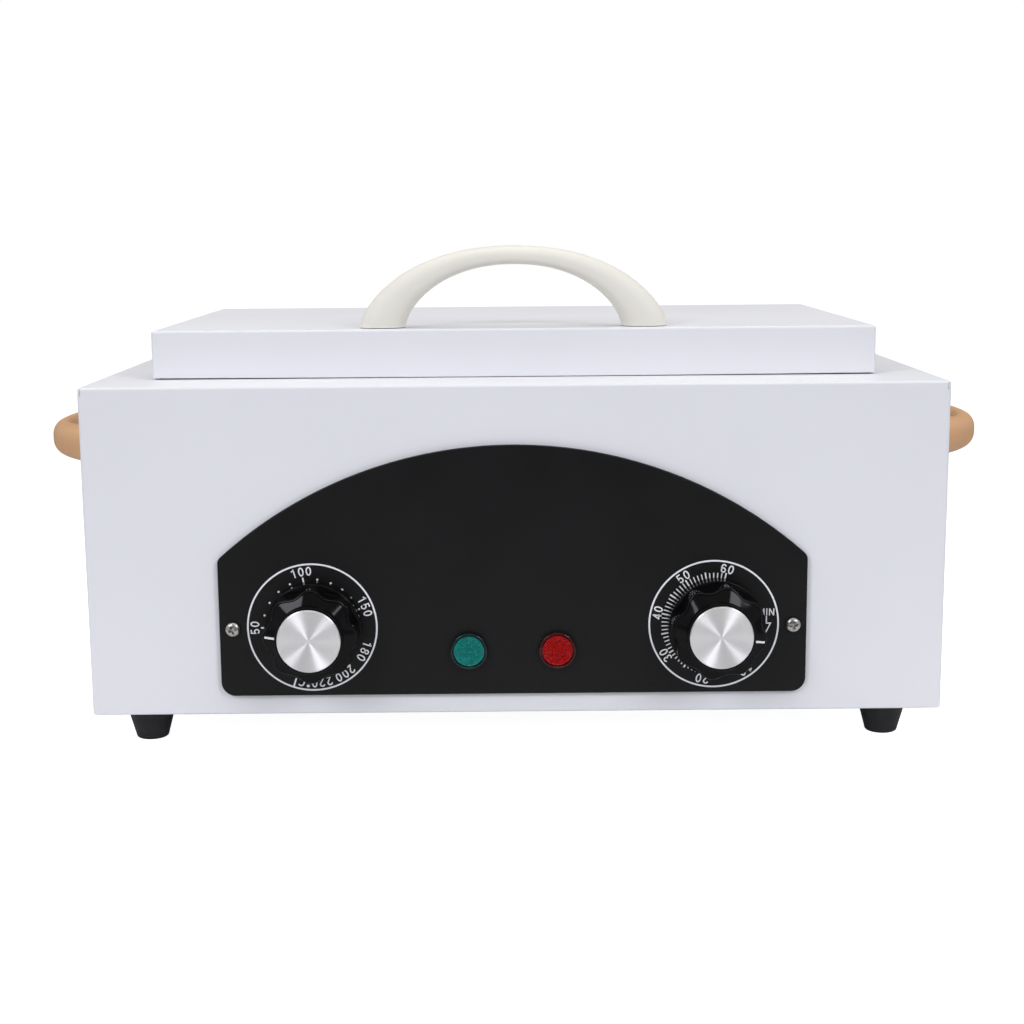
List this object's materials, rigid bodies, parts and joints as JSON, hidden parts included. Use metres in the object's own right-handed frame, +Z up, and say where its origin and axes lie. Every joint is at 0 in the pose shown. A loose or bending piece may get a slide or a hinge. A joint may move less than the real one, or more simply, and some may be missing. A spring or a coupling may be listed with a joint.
{
  "type": "dry heat sterilizer",
  "caption": "Bench-top dry heat sterilizer: white steel box with a hinged lid over a heated steel chamber, a thermostat dial, a timer dial, pilot lamps and bow handles.",
  "frame": {"origin": "centre of the footprint box, on the surface that the feet stand on", "axes": "+X to the right as the front is seen, -Y to the front with the control panel, +Y to the hinges, +Z up"},
  "size_m": [0.4298, 0.2546, 0.2104],
  "materials": {
    "white_paint": "baked white paint, satin",
    "stainless_steel": "fine brushed",
    "zinc_plate": "bright zinc plate",
    "aluminium": "spun, circular brushing",
    "black_panel": "satin",
    "black_plastic": "satin",
    "gloss_black_plastic": "polished",
    "black_rubber": "matte",
    "off_white_plastic": "semi-gloss",
    "tan_plastic": "semi-gloss",
    "green_lens": "moulded diamond texture",
    "red_lens": "moulded diamond texture",
    "mineral_wool": "fibrous",
    "brown_bakelite": "moulded, satin",
    "white_ceramic": "unglazed",
    "white_print": "screen-printed ink"
  },
  "bodies": {
    "case": {"case_shell": "white_paint", "base_plate": "zinc_plate", "foot_front_left": "black_rubber", "foot_front_right": "black_rubber", "foot_rear_left": "black_rubber", "foot_rear_right": "black_rubber", "foot_screw_front_left": "zinc_plate", "foot_screw_front_right": "zinc_plate", "foot_screw_rear_left": "zinc_plate", "foot_screw_rear_right": "zinc_plate", "chamber_basin": "stainless_steel", "heating_element": "stainless_steel", "heater_strap_left": "zinc_plate", "heater_strap_right": "zinc_plate", "insulation_jacket": "mineral_wool", "control_panel": "black_panel", "panel_screw_left": "zinc_plate", "panel_screw_right": "zinc_plate", "green_lamp_bezel": "black_plastic", "green_lamp_lens": "green_lens", "red_lamp_bezel": "black_plastic", "red_lamp_lens": "red_lens", "thermostat_body": "brown_bakelite", "thermostat_sensor": "stainless_steel", "timer_body": "brown_bakelite", "side_handle_left": "tan_plastic", "side_handle_right": "tan_plastic", "side_handle_screw_left_front": "zinc_plate", "side_handle_screw_left_rear": "zinc_plate", "side_handle_screw_right_front": "zinc_plate", "side_handle_screw_right_rear": "zinc_plate", "hinge_case_leaf_left": "stainless_steel", "hinge_case_leaf_right": "stainless_steel", "hinge_pin_left": "zinc_plate", "hinge_pin_right": "zinc_plate", "power_inlet": "black_plastic", "inlet_screw_left": "zinc_plate", "inlet_screw_right": "zinc_plate", "terminal_block": "white_ceramic"},
    "lid": {"lid_cover": "white_paint", "lid_liner": "stainless_steel", "lid_insulation": "mineral_wool", "lid_handle": "off_white_plastic", "lid_handle_screw_left": "zinc_plate", "lid_handle_screw_right": "zinc_plate", "hinge_lid_leaf_left": "stainless_steel", "hinge_lid_leaf_right": "stainless_steel"},
    "temperature_dial": {"temperature_knob": "gloss_black_plastic", "temperature_knob_cap": "aluminium", "temperature_shaft": "zinc_plate"},
    "timer_dial": {"timer_knob": "gloss_black_plastic", "timer_knob_cap": "aluminium", "timer_shaft": "zinc_plate"}
  },
  "joints": [
    {"name": "lid_hinge", "type": "hinge", "parent": "case", "child": "lid", "pos_m": [0, 0.12425, 0.1549], "axis": [-1, 0, 0], "range_deg": [0, 100]},
    {"name": "temperature_turn", "type": "hinge", "parent": "case", "child": "temperature_dial", "pos_m": [-0.08455, -0.1043, 0.05315], "axis": [0, 1, 0], "range_deg": [0, 268]},
    {"name": "timer_turn", "type": "hinge", "parent": "case", "child": "timer_dial", "pos_m": [0.08345, -0.1043, 0.05315], "axis": [0, 1, 0], "range_deg": [0, 272]}
  ]
}
